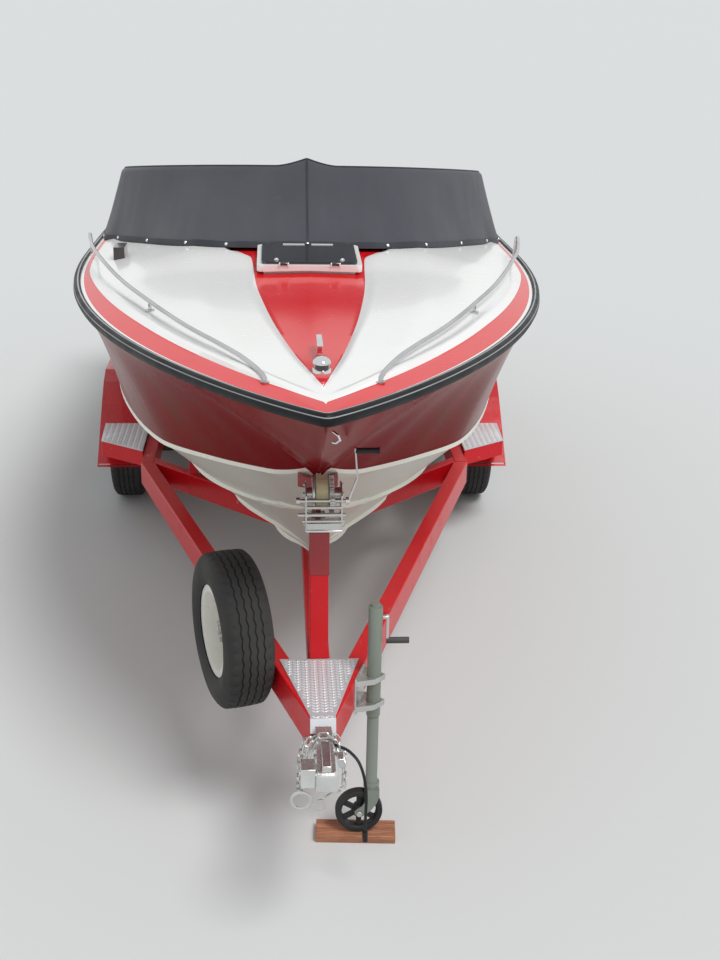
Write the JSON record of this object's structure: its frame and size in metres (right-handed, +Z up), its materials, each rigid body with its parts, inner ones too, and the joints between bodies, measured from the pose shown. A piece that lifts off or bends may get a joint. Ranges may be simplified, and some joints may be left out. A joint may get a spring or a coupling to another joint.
{
  "type": "speedboat on trailer",
  "caption": "Runabout speedboat with a canvas cockpit cover, sterndrive and bow rails, strapped to its road trailer with jack, winch, spare wheel and surge coupler",
  "frame": {"origin": "on the floor under the middle of the whole rig's box", "axes": "+Z up, -Y towards the bow and the trailer's coupler, +X to the boat's port side"},
  "size_m": [2.54, 7.0685, 2.3063],
  "materials": {
    "gelcoat_red": "polished gelcoat, deep red",
    "gelcoat_white": "polished gelcoat, white",
    "rub_black": "black vinyl",
    "smoked": "smoked acrylic",
    "canvas": "woven acrylic canvas",
    "chrome": "polished",
    "cast_block": "rough",
    "drive_grey": "satin",
    "alloy": "cast",
    "frame_red": "gloss paint",
    "carpet": "bunk carpet",
    "black_steel": "black",
    "tyre": "road rubber",
    "rim_white": "gloss white",
    "fender_red": "gloss paint",
    "tread_alloy": "tread plate",
    "zinc": "zinc plated",
    "webbing": "woven webbing",
    "jack_grey": "satin grey-green",
    "wheel_plastic": "moulded",
    "lamp_red": "lens",
    "plate_white": "blank",
    "cable_black": "sheath",
    "timber": "sawn"
  },
  "bodies": {
    "rig": {"hull": "gelcoat_red", "deck": "gelcoat_white", "rub_rail": "rub_black", "hatch_frame": "gelcoat_white", "cover": "canvas", "bow_rails": "chrome", "bow_light": "chrome", "deck_fittings": "chrome", "hull_eyes": "chrome", "engine": "cast_block", "drive_mount": "drive_grey", "drawbar_starboard": "frame_red", "drawbar_port": "frame_red", "rail_starboard": "frame_red", "rail_port": "frame_red", "cross_members": "frame_red", "bunk_posts": "frame_red", "bunks": "carpet", "axles": "black_steel", "fender_starboard": "fender_red", "fender_port": "fender_red", "step_beams": "frame_red", "tread_plates": "tread_alloy", "tongue_plate": "tread_alloy", "coupler": "zinc", "safety_chains": "zinc", "winch_stand": "frame_red", "winch": "zinc", "winch_handle": "black_steel", "winch_strap": "webbing", "bow_stop": "frame_red", "jack_mount": "zinc", "jack_tube": "jack_grey", "jack_crank": "zinc", "spare_tyre": "tyre", "spare_rim": "rim_white", "spare_carrier": "black_steel", "tail_lights": "lamp_red", "light_brackets": "black_steel", "plate_bracket": "plate_white", "light_cable": "cable_black", "cable_plug": "cable_black", "board": "timber"},
    "hatch": {"hatch_lid": "smoked"},
    "steering_yoke": {"drive_yoke": "drive_grey"},
    "stern_leg": {"drive_leg": "drive_grey"},
    "prop": {"propeller": "alloy"},
    "jack_slide": {"jack_leg": "zinc", "jack_fork": "zinc"},
    "jack_roller": {"jack_wheel": "wheel_plastic"},
    "wheel_front_starboard": {"tyre_front_starboard": "tyre", "rim_front_starboard": "rim_white"},
    "wheel_front_port": {"tyre_front_port": "tyre", "rim_front_port": "rim_white"},
    "wheel_rear_starboard": {"tyre_rear_starboard": "tyre", "rim_rear_starboard": "rim_white"},
    "wheel_rear_port": {"tyre_rear_port": "tyre", "rim_rear_port": "rim_white"}
  },
  "joints": [
    {"name": "turn_front_starboard", "type": "hinge", "parent": "rig", "child": "wheel_front_starboard", "pos_m": [-1.126, 0.7364, 0.3315], "axis": [1, 0, 0], "continuous": true},
    {"name": "turn_front_port", "type": "hinge", "parent": "rig", "child": "wheel_front_port", "pos_m": [1.126, 0.7364, 0.3315], "axis": [1, 0, 0], "continuous": true},
    {"name": "turn_rear_starboard", "type": "hinge", "parent": "rig", "child": "wheel_rear_starboard", "pos_m": [-1.126, 1.5764, 0.3315], "axis": [1, 0, 0], "continuous": true},
    {"name": "turn_rear_port", "type": "hinge", "parent": "rig", "child": "wheel_rear_port", "pos_m": [1.126, 1.5764, 0.3315], "axis": [1, 0, 0], "continuous": true},
    {"name": "hatch_open", "type": "hinge", "parent": "rig", "child": "hatch", "pos_m": [0, -0.83526, 1.95617], "axis": [1, 0, 0], "range_deg": [0, 75]},
    {"name": "drive_steer", "type": "hinge", "parent": "rig", "child": "steering_yoke", "pos_m": [0, 3.03721, 0.86108], "axis": [0, 0.061, 0.9981], "range_deg": [-30, 30]},
    {"name": "drive_tilt", "type": "hinge", "parent": "steering_yoke", "child": "stern_leg", "pos_m": [0, 3.13203, 0.85528], "axis": [1, 0, 0], "range_deg": [0, 48]},
    {"name": "propeller_turn", "type": "hinge", "parent": "stern_leg", "child": "prop", "pos_m": [0, 3.44708, 0.35511], "axis": [0, 0.9981, -0.061], "continuous": true},
    {"name": "jack_lift", "type": "slide", "parent": "rig", "child": "jack_slide", "axis": [0, 0.061, 0.9981], "range_m": [0, 0.28]},
    {"name": "jack_wheel_turn", "type": "hinge", "parent": "jack_slide", "child": "jack_roller", "pos_m": [0.168, -2.82484, 0.13846], "axis": [0, 0.9981, -0.061], "continuous": true}
  ]
}
